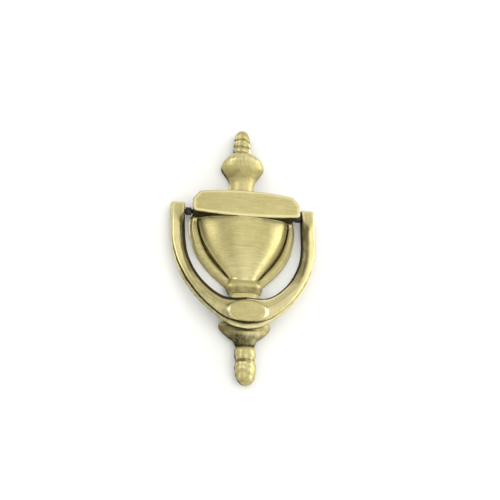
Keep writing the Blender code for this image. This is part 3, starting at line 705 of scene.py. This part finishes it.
def antique_brass():
    """Brass blackened all over, then brushed back: dark in hollows and inner sides, bright on edges. The
    dark is patina together with painted shade: occlusion shade in the hollows, and shade under overhangs and
    on sides turned from the lamps.
    """
    n = Nodes("antique_brass")
    brush = n.attribute("brush", "Vector")
    place = n.add("TexCoord").outputs["Object"]
    hollow, exposed, patina_and_painted_shade = n.attribute("hollow"), n.attribute("exposed"), n.attribute("patina_and_painted_shade")
    long_marks = n.noise(n.stretched(brush, (60, 2600, 900)), 1.0, 4.0, 0.6)
    fine_marks = n.noise(n.stretched(brush, (180, 9000, 3000)), 1.0, 2.0, 0.5)
    clouds = n.noise(place, 70, 3.0)
    grain = n.noise(place, 1400, 3.0, 0.6)
    patches = n.noise(place, 260, 4.0, 0.65)
    torn = n.math("ADD", n.math("MULTIPLY", patches, 0.4), n.math("MULTIPLY", long_marks, 0.4))
    # Patina and painted shade: both attributes darken the colour below, hollow with occlusion shade and the
    # other with shade under overhangs and on sides turned from the lamps.
    patina_and_shade = n.math("ADD", n.math("MULTIPLY", hollow, 0.58), n.math("MULTIPLY", patina_and_painted_shade, 0.9))
    blackening_and_shade = n.math("ADD", patina_and_shade, n.math("SUBTRACT", torn, 0.36))
    dark = n.ramp(blackening_and_shade, 0.22, 0.62)
    oxide_film_and_shade = n.ramp(n.math("ADD", blackening_and_shade, n.math("MULTIPLY", clouds, 0.12)), -0.05, 0.42)
    rubbed = n.ramp(n.math("ADD", exposed, n.math("MULTIPLY", torn, 0.3)), 0.18, 0.46)
    body = n.mix(n.ramp(long_marks, 0.34, 0.68), (0.43, 0.37, 0.15, 1), (0.69, 0.62, 0.33, 1))
    body = n.mix(n.ramp(clouds, 0.35, 0.7, 0, 0.35), body, (0.46, 0.385, 0.14, 1))
    aged_and_shaded = n.mix(n.math("MULTIPLY", oxide_film_and_shade, 0.5), body, (0.2, 0.16, 0.05, 1))
    bright = n.mix(n.math("MULTIPLY", rubbed, 0.42), aged_and_shaded, (0.8, 0.72, 0.41, 1))
    colour = n.mix(n.math("MULTIPLY", dark, 0.94), bright, (0.02, 0.015, 0.005, 1))
    n.put(colour, n.shader.inputs["Base Color"])
    n.shader.inputs["Metallic"].default_value = 1.0
    shine = n.blend(n.ramp(fine_marks, 0.3, 0.7), 0.36, 0.5)
    shine = n.blend(rubbed, shine, 0.32)
    n.put(n.blend(dark, shine, 0.6), n.shader.inputs["Roughness"])
    grain_way = n.add("VectorTransform", {0: n.attribute("grain", "Vector")}, vector_type="VECTOR",
                      convert_from="OBJECT", convert_to="WORLD").outputs[0]
    n.put(grain_way, n.shader.inputs["Tangent"])
    n.shader.inputs["Anisotropic"].default_value = 0.55
    n.shader.inputs["Anisotropic Rotation"].default_value = 0.25
    marks = n.math("ADD", n.math("MULTIPLY", long_marks, 0.7), n.math("MULTIPLY", fine_marks, 0.3))
    first = n.bump(marks, 0.22, 0.00006)
    second = n.bump(grain, 0.12, 0.00005, first)
    n.put(n.bump(patches, 0.18, 0.00018, second), n.shader.inputs["Normal"])
    return n.material


def turned_brass():
    """Plain turned brass of the striker pieces."""
    n = Nodes("striker_brass")
    place = n.add("TexCoord").outputs["Object"]
    rings = n.noise(n.stretched(place, (500, 9000, 500)), 1.0, 3.0)
    n.put(n.mix(rings, (0.6, 0.47, 0.2, 1), (0.8, 0.66, 0.34, 1)), n.shader.inputs["Base Color"])
    n.shader.inputs["Metallic"].default_value = 1.0
    n.put(n.ramp(n.noise(place, 900), 0.3, 0.7, 0.22, 0.38), n.shader.inputs["Roughness"])
    n.put(n.bump(rings, 0.2, 0.00005), n.shader.inputs["Normal"])
    return n.material


def black_steel():
    """Blackened steel for the hinge pins."""
    n = Nodes("blackened_steel")
    place = n.add("TexCoord").outputs["Object"]
    wear = n.noise(place, 700, 4.0)
    n.put(n.mix(n.ramp(wear, 0.55, 0.75), (0.022, 0.021, 0.02, 1), (0.09, 0.085, 0.075, 1)),
          n.shader.inputs["Base Color"])
    n.shader.inputs["Metallic"].default_value = 1.0
    n.put(n.ramp(wear, 0.3, 0.7, 0.3, 0.5), n.shader.inputs["Roughness"])
    n.put(n.bump(n.noise(place, 2600), 0.2, 0.00004), n.shader.inputs["Normal"])
    return n.material


def black_nylon():
    """Black nylon for the hinge bushes."""
    n = Nodes("black_nylon")
    place = n.add("TexCoord").outputs["Object"]
    mottle = n.noise(place, 1100, 4.0)
    n.put(n.mix(mottle, (0.006, 0.006, 0.006, 1), (0.014, 0.013, 0.012, 1)), n.shader.inputs["Base Color"])
    n.put(n.ramp(mottle, 0.3, 0.7, 0.28, 0.45), n.shader.inputs["Roughness"])
    n.put(n.bump(n.noise(place, 3000), 0.2, 0.00004), n.shader.inputs["Normal"])
    return n.material


def zinc_steel():
    """Zinc-plated steel for the studs, washers and nuts."""
    n = Nodes("zinc_plated_steel")
    place = n.add("TexCoord").outputs["Object"]
    spangle = n.noise(place, 420, 4.0)
    drawn = n.noise(n.stretched(place, (3200, 160, 3200)), 1.0, 3.0)
    tint = n.mix(spangle, (0.62, 0.64, 0.66, 1), (0.78, 0.78, 0.76, 1))
    n.put(n.mix(n.ramp(drawn, 0.3, 0.7, 0, 0.4), tint, (0.5, 0.52, 0.55, 1)), n.shader.inputs["Base Color"])
    n.shader.inputs["Metallic"].default_value = 1.0
    n.put(n.ramp(spangle, 0.3, 0.7, 0.2, 0.38), n.shader.inputs["Roughness"])
    n.put(n.bump(drawn, 0.15, 0.00005), n.shader.inputs["Normal"])
    return n.material


def dress(item, finish):
    item.data.materials.clear()
    item.data.materials.append(finish)


def dress_node(name, finish, edge=0.15):
    """Gives a CAD node its finish and slightly rounded edges."""
    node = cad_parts[name]
    for slot in node.material_slots:
        slot.material = finish
    if not node.material_slots:
        node.data.materials.append(finish)
    bevel = node.modifiers.new("soft_edges", "BEVEL")
    bevel.width = edge * MM
    bevel.segments = 2
    bevel.limit_method = "ANGLE"
    bevel.angle_limit = math.radians(40)


# ---- stage and light ----------------------------------------------------------------------------

STAGE_REACH = 2.5
DOOR_FACE_Y, FLOOR_Z = 0.0006, -0.32
SHEET_CLEAR_RANGE = 0.004  # metres
SKY_TOWARDS, SKY_SPAN, SKY_LEVELS = (0.5, -0.35, 0.79), 0.85, (0.25, 1.1)
# Each panel faces the origin: its name, place, size in metres and power in watts.
PANELS = (
    ("left_panel", (-0.7, -0.52, 0.3), (0.42, 0.7), 2.2),
    ("right_panel", (0.9, -0.26, 0.13), (0.46, 1.0), 4.2),
    ("back_panel", (-0.5, 0.8, 0.5), (0.7, 0.7), 5.0),
    ("front_panel", (0.22, -1.1, 0.15), (0.8, 0.9), 1.4),
)


def stage_sheet(name, low, high, flat_axis, level):
    """A flat sheet of the stage, at one level of its flat axis."""
    a, b = [axis for axis in range(3) if axis != flat_axis]
    corners = []
    for u, v in ((low[0], low[1]), (high[0], low[1]), (high[0], high[1]), (low[0], high[1])):
        spot = [0.0, 0.0, 0.0]
        spot[a], spot[b], spot[flat_axis] = u, v, level
        corners.append(tuple(spot))
    mesh = bpy.data.meshes.new(name)
    mesh.from_pydata(corners, [], [(0, 1, 2, 3)])
    sheet = bpy.data.objects.new(name, mesh)
    bpy.context.scene.collection.objects.link(sheet)
    return sheet


def stage_finish():
    """Pale paper, clear from behind and to rays under SHEET_CLEAR_RANGE, which lets light reach the back."""
    n = Nodes("stage_paper")
    n.shader.inputs["Base Color"].default_value = (0.9, 0.9, 0.87, 1)
    n.shader.inputs["Roughness"].default_value = 0.9
    n.shader.inputs["Specular IOR Level"].default_value = 0.1
    clear = n.add("BsdfTransparent").outputs[0]
    backing = n.add("NewGeometry").outputs["Backfacing"]
    close = n.math("LESS_THAN", n.add("LightPath").outputs["Ray Length"], SHEET_CLEAR_RANGE)
    choice = n.add("MixShader", {0: n.math("MAXIMUM", backing, close), 1: n.shader.outputs[0], 2: clear})
    n.tree.links.new(choice.outputs[0], n.tree.nodes["Material Output"].inputs["Surface"])
    return n.material


def softbox(name, place, size, power):
    """A rectangular area light that faces the origin."""
    light = bpy.data.lights.new(name, "AREA")
    light.shape = "RECTANGLE"
    light.size, light.size_y = size
    light.energy = power
    item = bpy.data.objects.new(name, light)
    bpy.context.scene.collection.objects.link(item)
    item.location = place
    item.rotation_euler = (-Vector(place)).to_track_quat("-Z", "Y").to_euler()


def light_the_scene():
    """A world that brightens towards the upper right, and four soft panels."""
    world = bpy.data.worlds.new("studio")
    bpy.context.scene.world = world
    world.use_nodes = True
    tree = world.node_tree
    place = tree.nodes.new("ShaderNodeTexCoord")
    towards = tree.nodes.new("ShaderNodeVectorMath")
    towards.operation = "DOT_PRODUCT"
    towards.inputs[1].default_value = Vector(SKY_TOWARDS).normalized()
    level = tree.nodes.new("ShaderNodeMapRange")
    level.inputs["From Min"].default_value = -SKY_SPAN
    level.inputs["From Max"].default_value = SKY_SPAN
    level.inputs["To Min"].default_value = SKY_LEVELS[0]
    level.inputs["To Max"].default_value = SKY_LEVELS[1]
    back = tree.nodes["Background"]
    back.inputs["Color"].default_value = (1, 1, 1, 1)
    tree.links.new(place.outputs["Generated"], towards.inputs[0])
    tree.links.new(towards.outputs["Value"], level.inputs["Value"])
    tree.links.new(level.outputs["Result"], back.inputs["Strength"])
    for panel in PANELS:
        softbox(*panel)


# ---- assembly -----------------------------------------------------------------------------------

def build():
    add_camera()
    brass = antique_brass()
    dress(make_plate(), brass)
    dress(make_bail(), brass)
    zinc = zinc_steel()
    for suffix in ("upper", "lower"):
        dress(make_stud("mounting_stud_" + suffix), zinc)
        for kind in ("flat_washer_", "spring_washer_", "cap_nut_"):
            dress_node(kind + suffix, zinc)
    striker = turned_brass()
    for name in ("strike_plate", "striker_stud"):
        dress_node(name, striker)
    steel, nylon = black_steel(), black_nylon()
    for suffix in ("left", "right"):
        dress_node("hinge_pin_" + suffix, steel, 0.1)
        dress_node("hinge_bush_" + suffix, nylon, 0.1)
    paper = stage_finish()
    far = STAGE_REACH
    dress(stage_sheet("wall", (-far, FLOOR_Z), (far, far), 1, DOOR_FACE_Y), paper)
    dress(stage_sheet("floor", (-far, -far), (far, DOOR_FACE_Y), 2, FLOOR_Z), paper)
    light_the_scene()
    bpy.context.scene.view_settings.view_transform = "Standard"


build()
